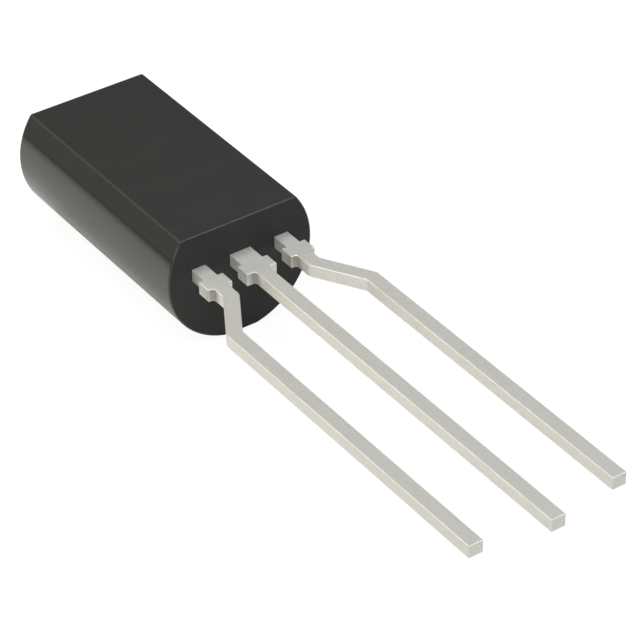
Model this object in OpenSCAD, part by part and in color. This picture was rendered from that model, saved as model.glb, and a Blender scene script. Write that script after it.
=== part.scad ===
// Small through-hole triac: a long D-shaped epoxy body with three formed leads.
// It lies on its back, flat side up. +X runs across the leads and +Y from
// the lead tips to the body. The origin is under the middle of the whole length.

/* [Body] */
// Diameter of the round back
body_d = 4.82; // [4.4:0.02:5.2]
// Width of the narrow flat along the crown of the round back
crown_w = 1; // [0.8:0.05:1.2]
// Depth from the wide flat to the crown
body_depth = 3.8; // [3.6:0.05:4.2]
// Length of the moulding
body_len = 8.2; // [7.5:0.1:8.6]

/* [Leads] */
// Thickness of the lead frame
lead_t = 0.4; // [0.35:0.01:0.5]
// Width of every lead beyond its dam bar stub
lead_w = 0.45; // [0.35:0.01:0.55]
// Depth of the lead frame's upper face below the flat
lead_depth = 1.07; // [1:0.01:1.3]
// Spacing of neighbouring leads where they leave the body
pitch_body = 1.39; // [1.27:0.01:1.5]
// Spacing of neighbouring leads at their tips
pitch_tip = 2.29; // [1.9:0.01:2.8]
// Length of the middle lead outside the body
mid_len = 14.4; // [12.7:0.1:16]
// Length of each outer lead outside the body, measured straight
outer_len = 14; // [12.5:0.1:15.5]
// Distance from the dam bar stub to the first bend
bend_start = 0.55; // [0.45:0.01:1]
// Distance between the two bends, measured straight
bend_run = 1.52; // [1.2:0.01:2.5]
// Radius inside each bend
bend_in_r = 0.1; // [0.05:0.01:0.15]
// Radius outside each bend
bend_out_r = 0.25; // [0.1:0.01:0.3]

/* [Dam bar stubs] */
// Width of the middle lead between the body and its stub
root_w_mid = 0.7; // [0.5:0.01:0.75]
// Width of each outer lead between the body and its stub
root_w_outer = 0.46; // [0.35:0.01:0.6]
// Width of the middle stub
dam_w_mid = 1; // [0.8:0.01:1.1]
// Width of each outer stub
dam_w_outer = 0.8; // [0.65:0.01:0.9]
// Distance from the body to the stubs
dam_start = 0.6; // [0.4:0.01:0.8]
// Length of each stub along its lead
dam_len = 0.5; // [0.3:0.01:0.7]
// Fillet between a stub and the lead beyond it
dam_fillet = 0.13; // [0.03:0.01:0.15]

/* [Inside: lead frame] */
// Gap between neighbouring pieces of the lead frame
frame_gap = 0.4; // [0.3:0.01:0.5]
// Distance from the body's end face to the bonding posts
post_inset = 0.75; // [0.5:0.05:1]
// Length of each bonding post
post_len = 1.1; // [0.9:0.05:1.4]
// Overhang of each bonding post on the far side of its lead
post_lip = 0.23; // [0.1:0.01:0.3]
// Width of the pad that carries the chip
pad_w = 2.6; // [2.2:0.05:3]
// Length of the pad that carries the chip
pad_len = 3.8; // [3.2:0.05:4.2]
// Depth of the notches that key the pad into the epoxy
notch_depth = 0.3; // [0.15:0.01:0.4]
// Length of each notch along the pad
notch_len = 0.5; // [0.3:0.01:0.7]
// Distance from each notch to the pad's far end
notch_inset = 0.5; // [0.3:0.01:0.7]
// Rounding of the corners of the pad and the posts
frame_r = 0.1; // [0.02:0.01:0.14]

/* [Inside: chip] */
// Width and length of the silicon chip
chip_size = 1.6; // [1.5:0.01:1.9]
// Thickness of the silicon chip
chip_t = 0.25; // [0.18:0.01:0.32]
// Distance from the pad's near end to the chip
chip_setback = 0.3; // [0.2:0.05:0.5]
// Width of the etched step round the chip's upper face
mesa_step = 0.15; // [0.1:0.01:0.17]
// Depth of the etched step
mesa_depth = 0.05; // [0.03:0.01:0.08]
// Thickness of the metal contacts on the chip
contact_t = 0.01; // [0.01:0.005:0.02]
// Margin of bare silicon round the contacts
contact_margin = 0.05; // [0.03:0.01:0.07]
// Width and length of the gate contact
gate_contact = 0.45; // [0.4:0.01:0.5]
// Gap between the two contacts
contact_gap = 0.1; // [0.06:0.01:0.12]
// Thickness of the solder under the chip
solder_t = 0.05; // [0.03:0.005:0.08]
// Margin of solder that shows round the chip
solder_margin = 0.06; // [0.03:0.01:0.1]

/* [Inside: bond wires] */
// Diameter of the wire to main terminal 1
wire_d_mt1 = 0.25; // [0.2:0.01:0.3]
// Diameter of the gate wire
wire_d_gate = 0.125; // [0.08:0.005:0.15]
// Length of the pressed feet of the wire to main terminal 1
foot_len_mt1 = 0.45; // [0.35:0.01:0.5]
// Length of the pressed feet of the gate wire
foot_len_gate = 0.25; // [0.2:0.01:0.3]
// Rise of each wire's loop above a straight run between its feet
loop_rise = 0.33; // [0.25:0.01:0.38]

/* [Hidden] */
$fn = 128;

// Straight edges in each rounded corner, and the least that stays straight beside one
arc_steps = 5;
straight_min = 0.02;
// Thickness and width of a wire's pressed foot, as shares of the wire's diameter
foot_squash = 0.4;
foot_spread = 1.4;
// Lengths along a wire's loop, and sides round it
loop_steps = 10;
wire_sides = 8;
// How far a cutting shape runs past what it cuts
over = 1;

// Heights above the surface that the body lies on
body_axis = sqrt(pow(body_d / 2, 2) - pow(crown_w / 2, 2));
frame_top = body_depth - lead_depth;
frame_low = frame_top - lead_t;
solder_top = frame_top + solder_t;
chip_top = solder_top + chip_t;
contact_top = chip_top + contact_t;

// Places along Y, from the end face that the leads come out of
dam_end = dam_start + dam_len;
bend_1 = dam_end + bend_start;
bend_2 = bend_1 + bend_run;
post_end = post_inset + post_len;
pad_start = post_end + frame_gap;
pad_end = pad_start + pad_len;
notch_end = pad_end - notch_inset;
notch_start = notch_end - notch_len;
chip_y = pad_start + chip_setback + chip_size / 2;

// That end face, from the middle of the whole length
end_face = (mid_len - body_len) / 2;

// Inner and outer side of a bonding post, and its middle
post_near = root_w_mid / 2 + frame_gap;
post_far = pitch_body + root_w_outer / 2 + post_lip;
post_mid = [(post_near + post_far) / 2, (post_inset + post_end) / 2];

// Edges of the contacts, from the middle of the chip
contact_edge = chip_size / 2 - mesa_step - contact_margin;
gate_edge = contact_edge - gate_contact;
mt1_edge = gate_edge - contact_gap;

function unit(v) = v / norm(v);
function quarter_turn(v) = [-v.y, v.x];
function turned(v, a) = [v.x * cos(a) - v.y * sin(a), v.x * sin(a) + v.y * cos(a)];
function flat_point(c) = [c.x, c.y];
function is_round(c) = len(c) > 2;

// What an arc at corner a may take of the side from a to b
function room(a, b) =
    (norm(flat_point(a) - flat_point(b)) - straight_min) / (is_round(b) ? 2 : 1);

// An arc that is tangent to both sides of a corner, no larger than the sides allow
function corner_arc(before, corner, after) =
    let (
        c = flat_point(corner),
        u = unit(c - flat_point(before)),
        v = unit(flat_point(after) - c),
        turn = atan2(cross(u, v), u * v),
        slope = tan(abs(turn) / 2),
        run = min(corner.z * slope, room(corner, before), room(corner, after)),
        inward = sign(turn) * run / slope * quarter_turn(u)
    )
    [for (k = [0:arc_steps]) c - run * u + inward - turned(inward, turn * k / arc_steps)];

// An outline from corners written as [x, y] or, to be rounded, as [x, y, radius]
function outline(corners) =
    let (n = len(corners))
    [for (i = [0:n - 1]) each is_round(corners[i])
        ? corner_arc(corners[(i + n - 1) % n], corners[i], corners[(i + 1) % n])
        : [corners[i]]];

// The corners of the mirror image across X = 0, in the order that keeps an outline turning left
function mirrored(corners) =
    [for (i = [len(corners) - 1:-1:0]) [for (k = [0:len(corners[i]) - 1])
        k == 0 ? -corners[i].x : corners[i][k]]];

// Half of the middle lead, from its tip to the far end of the chip's pad
mid_half = [
    [lead_w / 2, -mid_len],
    [lead_w / 2, -dam_end, dam_fillet],
    [dam_w_mid / 2, -dam_end],
    [dam_w_mid / 2, -dam_start],
    [root_w_mid / 2, -dam_start],
    [root_w_mid / 2, pad_start, frame_r],
    [pad_w / 2, pad_start, frame_r],
    [pad_w / 2, notch_start],
    [pad_w / 2 - notch_depth, notch_start, frame_r],
    [pad_w / 2 - notch_depth, notch_end, frame_r],
    [pad_w / 2, notch_end],
    [pad_w / 2, pad_end, frame_r],
];

// An outer lead: up the side that faces out, round the bonding post, and back down
// the side that faces the middle lead. The bends are mitred, then rounded.
jog = atan((pitch_tip - pitch_body) / bend_run);
mitre = lead_w / 2 * tan(jog / 2);
outer_lead = [
    [pitch_tip + lead_w / 2, -outer_len],
    [pitch_tip + lead_w / 2, -bend_2 + mitre, bend_out_r],
    [pitch_body + lead_w / 2, -bend_1 + mitre, bend_in_r],
    [pitch_body + lead_w / 2, -dam_end, dam_fillet],
    [pitch_body + dam_w_outer / 2, -dam_end],
    [pitch_body + dam_w_outer / 2, -dam_start],
    [pitch_body + root_w_outer / 2, -dam_start],
    [pitch_body + root_w_outer / 2, post_inset, frame_r],
    [post_far, post_inset, frame_r],
    [post_far, post_end, frame_r],
    [post_near, post_end, frame_r],
    [post_near, post_inset, frame_r],
    [pitch_body - root_w_outer / 2, post_inset, frame_r],
    [pitch_body - root_w_outer / 2, -dam_start],
    [pitch_body - dam_w_outer / 2, -dam_start],
    [pitch_body - dam_w_outer / 2, -dam_end],
    [pitch_body - lead_w / 2, -dam_end, dam_fillet],
    [pitch_body - lead_w / 2, -bend_1 - mitre, bend_out_r],
    [pitch_tip - lead_w / 2, -bend_2 - mitre, bend_in_r],
    [pitch_tip - lead_w / 2, -outer_len],
];

// A piece stamped flat from the lead frame's strip
module stamping(corners) {
    translate([0, end_face, frame_low])
        linear_extrude(lead_t)
            polygon(outline(corners));
}

// A slab with its middle at [x, y] inside the body
module slab(x, y, low, width, length, thickness) {
    translate([x - width / 2, end_face + y - length / 2, low])
        cube([width, length, thickness]);
}

// Main terminal 1: the outer lead on the -X side
module lead_mt1() {
    color("#bdbdb7") stamping(mirrored(outer_lead));
}

// Main terminal 2: the middle lead, which carries the chip
module lead_mt2() {
    color("#bdbdb7") stamping(concat(mid_half, mirrored(mid_half)));
}

// Gate: the outer lead on the +X side
module lead_gate() {
    color("#bdbdb7") stamping(outer_lead);
}

// Solder that holds the chip to its pad
module die_solder() {
    width = chip_size + 2 * solder_margin;
    color("#8f9296") slab(0, chip_y, frame_top, width, width, solder_t);
}

// Silicon chip: full size below, stepped in above, with an L-shaped main contact
// and a gate contact in the corner nearest the gate's post
module chip() {
    mesa = chip_size - 2 * mesa_step;
    field = contact_edge + mt1_edge;
    color("#5c6068") {
        slab(0, chip_y, solder_top, chip_size, chip_size, chip_t - mesa_depth);
        slab(0, chip_y, chip_top - mesa_depth, mesa, mesa, mesa_depth);
    }
    color("#d9d9dc") {
        slab(field / 2 - contact_edge, chip_y, chip_top, field, 2 * contact_edge, contact_t);
        slab(0, chip_y + contact_edge - field / 2, chip_top, 2 * contact_edge, field, contact_t);
        slab(gate_edge + gate_contact / 2, chip_y - gate_edge - gate_contact / 2,
            chip_top, gate_contact, gate_contact, contact_t);
    }
}

// One section of a wire, upright and square to its run: low is its underside
function wire_ring(start, along, s, low, width, height) =
    let (side = quarter_turn(along), middle = start + s * along)
    [for (k = [0:wire_sides - 1])
        let (
            a = (k + 0.5) * 360 / wire_sides,
            grow = 0.5 / cos(180 / wire_sides),
            p = middle + width * grow * cos(a) * side
        )
        [p.x, p.y, low + height * (0.5 + grow * sin(a))]];

// A bond wire: a foot pressed flat on each surface, and a round loop between them
module bond_wire(start, finish, start_z, finish_z, d, foot_len) {
    along = unit(finish - start);
    span = norm(finish - start);
    loop_len = span - foot_len;
    foot = [foot_spread * d, foot_squash * d];
    loop = [for (k = [1:loop_steps - 1])
        let (
            t = k / loop_steps,
            drop = (finish_z - start_z) * t * t * (3 - 2 * t),
            fall = (finish_z - start_z) * 6 * t * (1 - t),
            climb = loop_rise * PI * cos(180 * t),
            slope = (fall + climb) / loop_len
        )
        wire_ring(start, along, foot_len / 2 + t * loop_len,
            start_z + drop + loop_rise * sin(180 * t), d, d * sqrt(1 + slope * slope))];
    rings = [
        wire_ring(start, along, -foot_len / 2, start_z, foot.x, foot.y),
        wire_ring(start, along, foot_len / 2, start_z, foot.x, foot.y),
        each loop,
        wire_ring(start, along, span - foot_len / 2, finish_z, foot.x, foot.y),
        wire_ring(start, along, span + foot_len / 2, finish_z, foot.x, foot.y)
    ];
    last = (len(rings) - 1) * wire_sides;
    skin = [for (i = [0:wire_sides:last - 1], k = [0:wire_sides - 1])
        let (j = (k + 1) % wire_sides, n = i + wire_sides)
        each [[i + k, n + k, n + j], [i + k, n + j, i + j]]];
    near_end = [for (k = [0:wire_sides - 1]) k];
    far_end = [for (k = [wire_sides - 1:-1:0]) last + k];
    translate([0, end_face, 0])
        polyhedron([for (ring = rings) each ring], [near_end, far_end, each skin]);
}

// Wire from the chip's main contact to the post of main terminal 1
module wire_mt1() {
    color("#d9dadc") bond_wire([(mt1_edge - contact_edge) / 2, chip_y],
        [-post_mid.x, post_mid.y], contact_top, frame_top, wire_d_mt1, foot_len_mt1);
}

// Wire from the chip's gate contact to the gate's post
module wire_gate() {
    middle = gate_edge + gate_contact / 2;
    color("#d9dadc") bond_wire([middle, chip_y - middle],
        post_mid, contact_top, frame_top, wire_d_gate, foot_len_gate);
}

// Moulded epoxy: it fills all the space round the chip, the wires and the frame.
// A round bar, cut off above by the wide flat and below by the flat of the crown.
module body() {
    color("#2f302e") difference() {
        intersection() {
            translate([0, end_face, body_axis])
                rotate([-90, 0, 0])
                    cylinder(d = body_d, h = body_len);
            translate([-body_d / 2 - over, end_face - over, 0])
                cube([body_d + 2 * over, body_len + 2 * over, body_depth]);
        }
        lead_mt1();
        lead_mt2();
        lead_gate();
        die_solder();
        chip();
        wire_mt1();
        wire_gate();
    }
}

body();
lead_mt1();
lead_mt2();
lead_gate();
chip();
die_solder();
wire_mt1();
wire_gate();
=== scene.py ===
"""A triac in a long round-backed epoxy body, lying on its back on a sheet of white card."""

import math

import bmesh
import bpy
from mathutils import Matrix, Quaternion, Vector


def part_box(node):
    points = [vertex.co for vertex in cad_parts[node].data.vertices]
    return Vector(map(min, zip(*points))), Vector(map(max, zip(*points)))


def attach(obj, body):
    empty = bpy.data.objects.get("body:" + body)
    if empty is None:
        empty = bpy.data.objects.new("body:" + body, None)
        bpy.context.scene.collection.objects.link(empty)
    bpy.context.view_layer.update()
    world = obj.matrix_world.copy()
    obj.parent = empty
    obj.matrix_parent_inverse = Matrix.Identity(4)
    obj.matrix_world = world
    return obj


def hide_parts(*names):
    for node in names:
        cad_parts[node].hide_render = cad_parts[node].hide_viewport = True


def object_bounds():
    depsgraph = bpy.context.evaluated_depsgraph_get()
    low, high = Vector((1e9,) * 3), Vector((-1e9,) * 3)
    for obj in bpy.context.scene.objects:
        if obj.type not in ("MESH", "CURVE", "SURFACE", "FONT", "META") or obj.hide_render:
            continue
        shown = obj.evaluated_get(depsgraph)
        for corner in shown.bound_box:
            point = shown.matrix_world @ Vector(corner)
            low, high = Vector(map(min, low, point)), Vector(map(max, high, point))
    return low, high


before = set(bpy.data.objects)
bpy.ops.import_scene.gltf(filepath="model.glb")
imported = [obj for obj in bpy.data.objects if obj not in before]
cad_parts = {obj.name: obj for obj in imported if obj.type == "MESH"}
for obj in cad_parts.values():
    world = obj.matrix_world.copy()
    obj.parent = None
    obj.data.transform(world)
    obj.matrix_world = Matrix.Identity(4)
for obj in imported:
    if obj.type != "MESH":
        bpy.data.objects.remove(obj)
cad_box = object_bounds()


# Epoxy body -----------------------------------------------------------------------
# One block of black, silica-filled epoxy, moulded round the lead frame with the chip
# on it. It is a round bar with a wide flat above and a narrow one along its crown, and
# its edges are only as round as the mould leaves them.

mm = 0.001
WELD = 1e-4 * mm
SKIN = 1e-3 * mm
SHARP = math.radians(30)
EDGE_SEGMENTS = 3
BODY_EDGE = 0.045 * mm
BODY_ARC_STEPS = 96
EPOXY = (0.037, 0.038, 0.0375)
POLISHED_IOR = 1.7
POLISHED_ROUGHNESS = 0.08
MATT_IOR = 1.35
MATT_ROUGHNESS = 0.6
# How matt the edges of the wide flat are, from 0, polished, to 1
LONG_EDGES_MATT = 0.65
SHORT_EDGES_MATT = 0.5
LONG_EDGES_ROUGHER = 0.45
# Share by which the ends' colour is painted darker: painted shade
ENDS_PAINTED_SHADE = 0.1


class Signal:
    """A value on its way through a node tree. Arithmetic on it adds Math nodes."""

    def __init__(self, nodes, socket):
        self.nodes = nodes
        self.socket = socket

    def __add__(self, other):
        return self.nodes.math("ADD", self, other)

    def __radd__(self, other):
        return self.nodes.math("ADD", other, self)

    def __sub__(self, other):
        return self.nodes.math("SUBTRACT", self, other)

    def __rsub__(self, other):
        return self.nodes.math("SUBTRACT", other, self)

    def __mul__(self, other):
        return self.nodes.math("MULTIPLY", self, other)

    def __rmul__(self, other):
        return self.nodes.math("MULTIPLY", other, self)

    def __truediv__(self, other):
        return self.nodes.math("DIVIDE", self, other)

    def __gt__(self, other):
        return self.nodes.math("GREATER_THAN", self, other)

    def __lt__(self, other):
        return self.nodes.math("LESS_THAN", self, other)


class Nodes:
    """A node tree that is filled one node at a time."""

    def __init__(self, tree):
        self.tree = tree

    def add(self, kind, settings=None, values=None, out=0):
        """Adds a node: its settings first, then a value or a link for each named socket."""
        node = self.tree.nodes.new(kind)
        for name, setting in (settings or {}).items():
            setattr(node, name, setting)
        for name, value in (values or {}).items():
            several = value if isinstance(value, list) else [value]
            for item in several:
                if isinstance(item, Signal):
                    self.tree.links.new(item.socket, node.inputs[name])
                else:
                    node.inputs[name].default_value = item
        return Signal(self, node.outputs[out]) if len(node.outputs) else node

    def math(self, operation, *values):
        return self.add("ShaderNodeMath", {"operation": operation}, dict(enumerate(values)))


class Finish(Nodes):
    """A material that is built from nodes, with places measured on the piece in metres."""

    def __init__(self, name):
        self.material = bpy.data.materials.new(name)
        self.material.use_nodes = True
        super().__init__(self.material.node_tree)
        self.tree.nodes.clear()
        self.place = self.add("ShaderNodeTexCoord", out="Object")

    def noise(self, size, stretch=(1, 1, 1), detail=3):
        """Soft noise from 0 to 1 whose blotches are about size across."""
        place = self.add("ShaderNodeMapping", {}, {"Vector": self.place, "Scale": stretch})
        return self.add("ShaderNodeTexNoise", {}, {
            "Vector": place,
            "Scale": 1 / size,
            "Detail": detail,
        })

    def tint(self, amount, low, high):
        """The colour between low and high that amount picks."""
        first, second = (end if isinstance(end, Signal) else (*end, 1) for end in (low, high))
        values = {0: amount, 6: first, 7: second}
        return self.add("ShaderNodeMix", {"data_type": "RGBA"}, values, out=2)

    def bump(self, height, depth):
        """A surface that rises by depth, in metres, where height goes from 0 to 1."""
        return self.add("ShaderNodeBump", {}, {"Height": height, "Distance": depth, "Strength": 1})

    def surface(self, values):
        """Closes the material with one Principled BSDF."""
        shader = self.add("ShaderNodeBsdfPrincipled", {}, values)
        self.add("ShaderNodeOutputMaterial", {}, {"Surface": shader})
        return self.material


def epoxy_finish():
    """Eroded mould finish on the wide flat and the ends, polished finish round the back.

    The edges of the wide flat lie between the two: its long ones are nearer to matt. The ends'
    colour is a little darker, as painted shade.
    """
    epoxy = Finish("epoxy")
    low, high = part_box("body")
    along = epoxy.add("ShaderNodeSeparateXYZ", {}, {"Vector": epoxy.place}, out="Y")
    height = epoxy.add("ShaderNodeSeparateXYZ", {}, {"Vector": epoxy.place}, out="Z")
    ends = (along < low.y + SKIN) + (along > high.y - SKIN)
    end_edges = (along < low.y + BODY_EDGE) + (along > high.y - BODY_EDGE)
    top = height > high.z - SKIN
    top_and_edges = height > high.z - BODY_EDGE
    long_edges = top_and_edges * (1 - end_edges)
    flat = (SHORT_EDGES_MATT * top_and_edges
            + (LONG_EDGES_MATT - SHORT_EDGES_MATT) * long_edges
            + (1 - LONG_EDGES_MATT) * top)
    matt = epoxy.math("MAXIMUM", ends, flat)
    cloud = epoxy.noise(0.9 * mm, detail=4)
    grain = epoxy.noise(0.03 * mm, detail=2)
    colour = epoxy.tint(cloud, tuple(0.9 * c for c in EPOXY), tuple(1.1 * c for c in EPOXY))
    # The ends' colour is painted darker: painted shade
    eroded = epoxy.add("ShaderNodeBsdfPrincipled", {}, {
        "Base Color": epoxy.tint(ENDS_PAINTED_SHADE * ends, colour, (0, 0, 0)),
        "Roughness": MATT_ROUGHNESS,
        "IOR": MATT_IOR,
        "Normal": epoxy.bump(grain, 0.3e-3 * mm),
    })
    polished = epoxy.add("ShaderNodeBsdfPrincipled", {}, {
        "Base Color": colour,
        "Roughness": POLISHED_ROUGHNESS + 0.03 * cloud + LONG_EDGES_ROUGHER * long_edges,
        "IOR": POLISHED_IOR,
        "Normal": epoxy.bump(grain, 0.05e-3 * mm),
    })
    both = epoxy.add("ShaderNodeMixShader", {}, {0: matt, 1: polished, 2: eroded})
    epoxy.add("ShaderNodeOutputMaterial", {}, {"Surface": both})
    return epoxy.material


def moulding_tree():
    """Geometry nodes for a round bar with a flat above and a flat along its crown."""
    tree = bpy.data.node_groups.new("moulded bar", "GeometryNodeTree")
    sizes = ("Radius", "Axis height", "Flat height", "Crown width", "Near end", "Length")
    for name in sizes:
        tree.interface.new_socket(name=name, in_out="INPUT", socket_type="NodeSocketFloat")
    tree.interface.new_socket(name="Arc steps", in_out="INPUT", socket_type="NodeSocketInt")
    tree.interface.new_socket(name="Material", in_out="INPUT", socket_type="NodeSocketMaterial")
    tree.interface.new_socket(name="Geometry", in_out="OUTPUT", socket_type="NodeSocketGeometry")
    nodes = Nodes(tree)
    group = tree.nodes.new("NodeGroupInput")
    given = {socket.name: Signal(nodes, socket) for socket in group.outputs if socket.name}
    radius, axis, steps = given["Radius"], given["Axis height"], given["Arc steps"]

    # The first half of the corners climbs the right-hand arc, the rest comes down the left one
    index = nodes.add("GeometryNodeInputIndex")
    right = index < steps + 0.5
    step = right * index + (1 - right) * (2 * steps + 1 - index)
    first = 0 - nodes.math("ARCCOSINE", given["Crown width"] / 2 / radius)
    last = nodes.math("ARCSINE", (given["Flat height"] - axis) / radius)
    angle = first + (last - first) * step / steps
    corner = nodes.add("ShaderNodeCombineXYZ", {}, {
        "X": (2 * right - 1) * radius * nodes.math("COSINE", angle),
        "Y": given["Near end"],
        "Z": axis + radius * nodes.math("SINE", angle),
    })
    ring = nodes.add("GeometryNodeMeshCircle", {"fill_type": "NGON"}, {"Vertices": 2 * steps + 2})
    near_face = nodes.add("GeometryNodeSetPosition", {}, {"Geometry": ring, "Position": corner})
    bar = nodes.add("GeometryNodeExtrudeMesh", {}, {
        "Mesh": near_face,
        "Offset": nodes.add("ShaderNodeCombineXYZ", {}, {"Y": given["Length"]}),
        "Offset Scale": 1,
        "Individual": False,
    })
    closed = nodes.add("GeometryNodeJoinGeometry", {}, {"Geometry": [near_face, bar]})
    merged = nodes.add("GeometryNodeMergeByDistance", {}, {"Geometry": closed, "Distance": WELD})
    solid = nodes.add("GeometryNodeRealizeInstances", {}, {"Geometry": merged})
    dressed = nodes.add("GeometryNodeSetMaterial", {}, {
        "Geometry": solid,
        "Material": given["Material"],
    })
    nodes.add("NodeGroupOutput", {}, {"Geometry": dressed})
    return tree


def grown(name, tree, values):
    """A plain mesh object made by a geometry node tree from the given inputs."""
    seed = bpy.data.objects.new(name + "_seed", bpy.data.meshes.new(name + "_seed"))
    bpy.context.collection.objects.link(seed)
    modifier = seed.modifiers.new("tree", "NODES")
    modifier.node_group = tree
    for socket in tree.interface.items_tree:
        if socket.in_out == "INPUT":
            modifier[socket.identifier] = values[socket.name]
    bpy.context.view_layer.update()
    evaluated = seed.evaluated_get(bpy.context.evaluated_depsgraph_get())
    mesh = bpy.data.meshes.new_from_object(evaluated)
    seed.modifiers.remove(modifier)
    bpy.data.objects.remove(seed)
    piece = bpy.data.objects.new(name, mesh)
    bpy.context.collection.objects.link(piece)
    return piece


def outward(mesh):
    """Turns every face of a closed mesh outwards."""
    shell = bmesh.new()
    shell.from_mesh(mesh)
    bmesh.ops.recalc_face_normals(shell, faces=shell.faces)
    shell.to_mesh(mesh)
    shell.free()


def stand_for(piece, node):
    """The piece is shown in place of the CAD node and moves with the part."""
    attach(piece, "root")
    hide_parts(node)


low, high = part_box("body")
crown = [v.co.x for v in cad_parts["body"].data.vertices if v.co.z < low.z + SKIN]
body_radius = high.x
body_axis = low.z + math.sqrt(body_radius ** 2 - max(crown) ** 2)
body = grown("epoxy_body", moulding_tree(), {
    "Radius": body_radius,
    "Axis height": body_axis,
    "Flat height": high.z,
    "Crown width": 2 * max(crown),
    "Near end": low.y,
    "Length": high.y - low.y,
    "Arc steps": BODY_ARC_STEPS,
    "Material": epoxy_finish(),
})
outward(body.data)
body.data.shade_smooth()
edges = body.modifiers.new("mould edges", "BEVEL")
edges.width = BODY_EDGE
edges.segments = EDGE_SEGMENTS
edges.angle_limit = SHARP
edges.harden_normals = True
stand_for(body, "body")


# Leads ----------------------------------------------------------------------------
# Three pieces of one copper alloy lead frame, punched from strip and plated with matt
# tin. The stubs by the body are left where the bars between the leads were cut away.
# Their edges are a little round and rubbed, with a painted highlight on them, and one inner
# corner of each has painted shade. The tin is painted lighter toward the body.

LEAD_EDGE = 0.023 * mm
SAME_PLANE = math.radians(1)
TIN_DARK_TONE = (0.82, 0.815, 0.79)
TIN = (0.97, 0.96, 0.925)
# Rubbed edges are painted lighter than the tin: real rubbing plus a painted highlight
TIN_BURNISHED_HIGHLIGHT = (0.98, 0.98, 0.965)
# Painted shade in each stub's inner corner, and how far it reaches from that corner
TIN_CORNER_SHADE = (0.42, 0.41, 0.385)
CORNER_SHADE_REACH = 0.33 * mm
# How far the tin's colour goes from its darker tone, 0, to the full one, 1: painted lighter
# toward the body to offset the shade there, and how much streaks and grain change that
BRIGHT_AT_TIPS = 0.1
BRIGHT_AT_BODY = 0.7
STREAK_CONTRAST = 0.3
GRAIN_CONTRAST = 2.4
# A face whose normal has less upward share than this is a wall that the punch cut
WALL_SLOPE = 0.1
# One step of a fillet's arc in the solids, in degrees, and the share of its radius that is kept
FILLET_STEP = 18
FILLET_SHARE = 0.6


def tin_finish():
    """Matt tin over rolled strip, with a fine grain, rubbed edges with a painted highlight, painted
    shade in a corner and painted light toward the body.
    """
    tin = Finish("tinned_copper")
    rubbed_highlight = tin.add("ShaderNodeAttribute", {"attribute_name": "rubbed_highlight"}, out="Fac")
    painted_corner_shade = tin.add("ShaderNodeAttribute", {"attribute_name": "painted_corner_shade"}, out="Fac")
    streaks = tin.noise(0.05 * mm, stretch=(1, 0.05, 1), detail=2)
    grain = tin.noise(0.036 * mm, detail=3)
    along = tin.add("ShaderNodeSeparateXYZ", {}, {"Vector": tin.place}, out="Y")
    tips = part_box("lead_mt2")[0].y
    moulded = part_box("body")[0].y
    # Painted light: the tin's colour gets lighter toward the body, against the body's shade
    painted_light_toward_body = (along - tips) / (moulded - tips)
    bright = BRIGHT_AT_TIPS + (BRIGHT_AT_BODY - BRIGHT_AT_TIPS) * painted_light_toward_body
    uneven = STREAK_CONTRAST * (streaks - 0.5) + GRAIN_CONTRAST * (grain - 0.5)
    matt = tin.tint(bright + uneven, TIN_DARK_TONE, TIN)
    return tin.surface({
        # Painted highlight on the rubbed edges, painted shade in the stub's corner
        "Base Color": tin.tint(rubbed_highlight, tin.tint(painted_corner_shade, matt, TIN_CORNER_SHADE), TIN_BURNISHED_HIGHLIGHT),
        "Metallic": 1 - 0.5 * rubbed_highlight,
        "Roughness": 0.58 + 0.05 * streaks + 0.08 * grain - 0.32 * rubbed_highlight,
        "Normal": tin.bump(0.5 * streaks + 0.5 * grain, 0.8e-3 * mm),
    })


def flat_faces(mesh):
    """Lets the large faces keep their own normals, so that only their edges look round."""
    normals = [Vector() for vertex in mesh.vertices]
    for face in mesh.polygons:
        for index in face.vertices:
            normals[index] += face.normal * face.area / mm ** 2
    mesh.normals_split_custom_set_from_vertices([normal.normalized() for normal in normals])


def is_in_fillet(vertex):
    """True where two walls bend inwards by one step of a stub's fillet, or by half a step."""
    inward = -min(math.degrees(edge.calc_face_angle_signed()) for edge in vertex.link_edges)
    return FILLET_STEP / 2 - 1 < inward < FILLET_STEP + 1


def tighten_fillets(blank):
    """Shrinks a stub's fillets toward their corners, and returns the corner on the left."""
    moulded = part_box("body")[0].y
    fillets = [v for v in blank.verts if v.co.y < moulded and is_in_fillet(v)]
    middle = sum(v.co.x for v in fillets) / len(fillets)
    corners = {}
    for side in (-1, 1):
        fillet = [v for v in fillets if side * (v.co.x - middle) > 0]
        corner = Vector((side * min(side * v.co.x for v in fillet), max(v.co.y for v in fillet)))
        for vertex in fillet:
            vertex.co.xy = corner + (vertex.co.xy - corner) * FILLET_SHARE
        corners[side] = corner
    return corners[-1]


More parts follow.
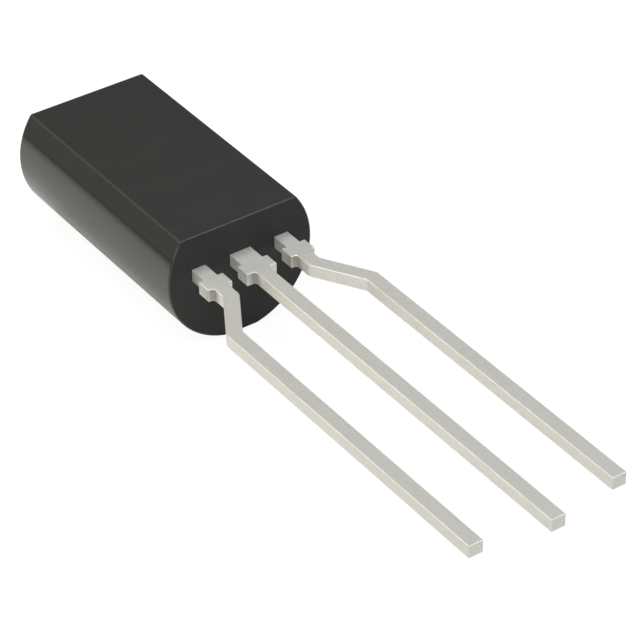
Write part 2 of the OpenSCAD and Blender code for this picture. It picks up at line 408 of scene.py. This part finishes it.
def punched(node, name):
    """A closed copy of a CAD lead with tighter fillets, rubbed round edges marked for a painted
    highlight, and painted shade in a corner.
    """
    blank = bmesh.new()
    blank.from_mesh(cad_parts[node].data)
    bmesh.ops.remove_doubles(blank, verts=blank.verts, dist=WELD)
    bmesh.ops.dissolve_limit(blank, angle_limit=SAME_PLANE, verts=blank.verts, edges=blank.edges)
    corner = tighten_fillets(blank)

    # A cut across the lead keeps the painted shade from spreading past its reach
    everything = blank.verts[:] + blank.edges[:] + blank.faces[:]
    bmesh.ops.bisect_plane(blank, geom=everything,
                           plane_co=(0, corner.y - CORNER_SHADE_REACH, 0), plane_no=(0, 1, 0))
    rubbed_highlight = blank.faces.layers.float.new("rubbed_highlight")
    painted_corner_shade = blank.verts.layers.float.new("painted_corner_shade")
    sharp = [edge for edge in blank.edges if edge.calc_face_angle() > SHARP]
    rounded = bmesh.ops.bevel(blank, geom=sharp, offset=LEAD_EDGE, offset_type="OFFSET",
                              affect="EDGES", segments=EDGE_SEGMENTS, profile=0.5,
                              clamp_overlap=True)
    # Rubbed edges are marked for the painted highlight
    for face in rounded["faces"]:
        face[rubbed_highlight] = abs(face.normal.z) > WALL_SLOPE
    # Walls near the stub's inner corner get painted shade, fading with distance from the corner
    for vertex in blank.verts:
        if any(abs(face.normal.z) < WALL_SLOPE for face in vertex.link_faces):
            vertex[painted_corner_shade] = max(0, 1 - (vertex.co.xy - corner).length / CORNER_SHADE_REACH)
    mesh = bpy.data.meshes.new(name)
    blank.to_mesh(mesh)
    blank.free()
    mesh.shade_smooth()
    flat_faces(mesh)
    lead = bpy.data.objects.new(name, mesh)
    bpy.context.collection.objects.link(lead)
    return lead


tin = tin_finish()
for node in ("lead_mt1", "lead_mt2", "lead_gate"):
    lead = punched(node, "tinned_" + node)
    lead.data.materials.clear()
    lead.data.materials.append(tin)
    stand_for(lead, node)


# Chip -----------------------------------------------------------------------------
# A square of silicon with its upper edge etched back, and two evaporated aluminium
# contacts on top. It is sealed in the epoxy, on the pad of the middle lead.

CONTACT_DEPTH = 0.01 * mm


def chip_finish():
    """Polished blue-grey silicon below, bright aluminium on the contacts."""
    chip = Finish("silicon")
    height = chip.add("ShaderNodeSeparateXYZ", {}, {"Vector": chip.place}, out="Z")
    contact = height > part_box("chip")[1].z - CONTACT_DEPTH / 2
    grain = chip.noise(0.01 * mm)
    return chip.surface({
        "Base Color": chip.tint(contact, (0.11, 0.12, 0.15), (0.78, 0.78, 0.79)),
        "Metallic": 1,
        "Roughness": 0.08 + 0.2 * contact + 0.1 * contact * grain,
    })


def wear(node, finish):
    """Gives a CAD node that stays visible its finish."""
    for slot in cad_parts[node].material_slots:
        slot.material = finish


wear("chip", chip_finish())


# Solder and bond wires ------------------------------------------------------------
# Soft solder joins the chip to its pad. A thick aluminium wire runs to the post of main
# terminal 1 and a thin one to the gate's post, each welded on by pressing its ends flat.


def solder_finish():
    """Dull grey solder, frozen with a slightly crumpled skin."""
    solder = Finish("solder")
    skin = solder.noise(0.08 * mm, detail=5)
    return solder.surface({
        "Base Color": solder.tint(skin, (0.4, 0.41, 0.43), (0.56, 0.56, 0.57)),
        "Metallic": 1,
        "Roughness": 0.35 + 0.2 * skin,
        "Normal": solder.bump(skin, 0.004 * mm),
    })


def wire_finish():
    """Drawn aluminium wire with faint die marks."""
    wire = Finish("bond_wire")
    marks = wire.noise(0.02 * mm, stretch=(1, 0.1, 1))
    return wire.surface({
        "Base Color": wire.tint(marks, (0.78, 0.78, 0.79), (0.86, 0.86, 0.87)),
        "Metallic": 1,
        "Roughness": 0.22 + 0.12 * marks,
    })


wear("die_solder", solder_finish())
aluminium = wire_finish()
wear("wire_mt1", aluminium)
wear("wire_gate", aluminium)


# Card -----------------------------------------------------------------------------
# A strip of plain white card under the part. The camera sees it as white paper with a
# faint shadow. The part sees it as it is lit, fading away toward its long edges, so the
# round back reflects no hard edge.

CARD_HALF_WIDTH = 18.5 * mm
CARD_FADE = 9.5 * mm
CARD_HALF_LENGTH = 45 * mm
CARD_DROP = 0.02 * mm
CARD_WHITE = 0.9
CARD_WHITEST = 0.91
PAPER_GLOW = 0.93
SHADOW_SHARE = 0.12


def card_finish():
    """White paper. What the camera sees is mostly paper white, with a share of real light."""
    card = Finish("white_card")
    fibres = card.noise(0.4 * mm, detail=5)
    side = card.add("ShaderNodeSeparateXYZ", {}, {"Vector": card.place}, out="X")
    inward = CARD_HALF_WIDTH - card.math("ABSOLUTE", side)
    full = card.math("MINIMUM", inward / CARD_FADE, 1)
    sheet_tint = card.tint(fibres, (CARD_WHITE,) * 3, (CARD_WHITEST,) * 3)
    paper = card.add("ShaderNodeBsdfDiffuse", {}, {"Color": card.tint(full, (0, 0, 0), sheet_tint)})
    glow = card.add("ShaderNodeEmission", {}, {"Color": (1, 1, 1, 1), "Strength": PAPER_GLOW})
    faint = card.add("ShaderNodeBsdfDiffuse", {}, {"Color": (SHADOW_SHARE,) * 3 + (1,)})
    seen = card.add("ShaderNodeAddShader", {}, {0: glow, 1: faint})
    by_camera = card.add("ShaderNodeLightPath", out="Is Camera Ray")
    both = card.add("ShaderNodeMixShader", {}, {0: by_camera, 1: paper, 2: seen})
    card.add("ShaderNodeOutputMaterial", {}, {"Surface": both})
    return card.material


sheet = bmesh.new()
bmesh.ops.create_grid(sheet, x_segments=8, y_segments=24, size=1)
for vertex in sheet.verts:
    vertex.co = (vertex.co.x * CARD_HALF_WIDTH, vertex.co.y * CARD_HALF_LENGTH, -CARD_DROP)
card_mesh = bpy.data.meshes.new("card")
sheet.to_mesh(card_mesh)
sheet.free()
card_mesh.materials.append(card_finish())
card = bpy.data.objects.new("card", card_mesh)
bpy.context.collection.objects.link(card)


# Studio light ---------------------------------------------------------------------
# A dim room with soft boxes round the part: broad ones high on the left, on the right
# and in front, a warm low one and a pale board on the left. Three small ones light the
# rims of the leads, from behind on the left and from in front on both sides.

ROOM = (0.02, 0.02, 0.025)

world = bpy.data.worlds.new("studio")
bpy.context.scene.world = world
world.use_nodes = True
room = Nodes(world.node_tree)
room.tree.nodes.clear()
walls = room.add("ShaderNodeBackground", {}, {"Color": (*ROOM, 1)})
white = room.add("ShaderNodeBackground", {}, {"Color": (1, 1, 1, 1)})
seen = room.add("ShaderNodeLightPath", out="Is Camera Ray")
sky = room.add("ShaderNodeMixShader", {}, {0: seen, 1: walls, 2: white})
room.add("ShaderNodeOutputWorld", {}, {"Surface": sky})


def toward(azimuth, elevation):
    """The direction at these angles in degrees. Azimuth 0 is in front, and 90 on the right."""
    a, e = math.radians(azimuth), math.radians(elevation)
    return Vector((math.sin(a) * math.cos(e), -math.cos(a) * math.cos(e), math.sin(e)))


def soft_box(name, azimuth, elevation, width, height, radiance, distance=200 * mm):
    """A rectangular lamp that faces the part and looks like a surface of that radiance."""
    brightest = max(radiance)
    lamp = bpy.data.lights.new(name, "AREA")
    lamp.shape = "RECTANGLE"
    lamp.size = width
    lamp.size_y = height
    lamp.energy = brightest * math.pi * width * height
    lamp.color = [share / brightest for share in radiance]
    box = bpy.data.objects.new(name, lamp)
    direction = toward(azimuth, elevation)
    box.location = direction * distance
    box.rotation_mode = "QUATERNION"
    box.rotation_quaternion = direction.to_track_quat("Z", "Y")
    box.visible_camera = False
    bpy.context.collection.objects.link(box)


soft_box("key", -90, 64, 150 * mm, 120 * mm, (3.15, 3.08, 2.92))
soft_box("low left", -90, 18, 120 * mm, 80 * mm, (1.35, 1.08, 0.75))
soft_box("board", -138, 8, 190 * mm, 100 * mm, (0.2, 0.19, 0.16))
soft_box("rim", -138, 30, 100 * mm, 56 * mm, (4.7, 4.3, 3.2))
soft_box("right", 95, 64, 120 * mm, 120 * mm, (2.2, 2.3, 2.25))
soft_box("fill", 38, 42, 44 * mm, 44 * mm, (4.5, 4.6, 4.7))
soft_box("front", -20, 60, 120 * mm, 100 * mm, (2.6, 2.7, 2.8))
soft_box("glint", -47, 2, 44 * mm, 56 * mm, (2.5, 2.7, 2.7))


# Camera ---------------------------------------------------------------------------
# It looks down on the part from the side of the leads, over main terminal 1. A long
# lens keeps the perspective slight. Angles are in degrees, the focal length in mm.

CAMERA_AZIMUTH = -34.22
CAMERA_ELEVATION = 36.14
CAMERA_ROLL = 1.01
CAMERA_DISTANCE = 84.67 * mm
CAMERA_LENS = 172.4
AIM = Vector((0.45, -0.17, 0.15)) * mm

part_middle = (cad_box[0] + cad_box[1]) / 2
back = toward(CAMERA_AZIMUTH, CAMERA_ELEVATION)
lens = bpy.data.cameras.new("camera")
lens.lens = CAMERA_LENS
lens.clip_start = 1 * mm
camera = bpy.data.objects.new("camera", lens)
camera.location = part_middle + AIM + back * CAMERA_DISTANCE
camera.rotation_mode = "QUATERNION"
roll = Quaternion((0, 0, 1), -math.radians(CAMERA_ROLL))
camera.rotation_quaternion = back.to_track_quat("Z", "Y") @ roll
bpy.context.collection.objects.link(camera)
bpy.context.scene.camera = camera
bpy.context.scene.view_settings.view_transform = "Standard"
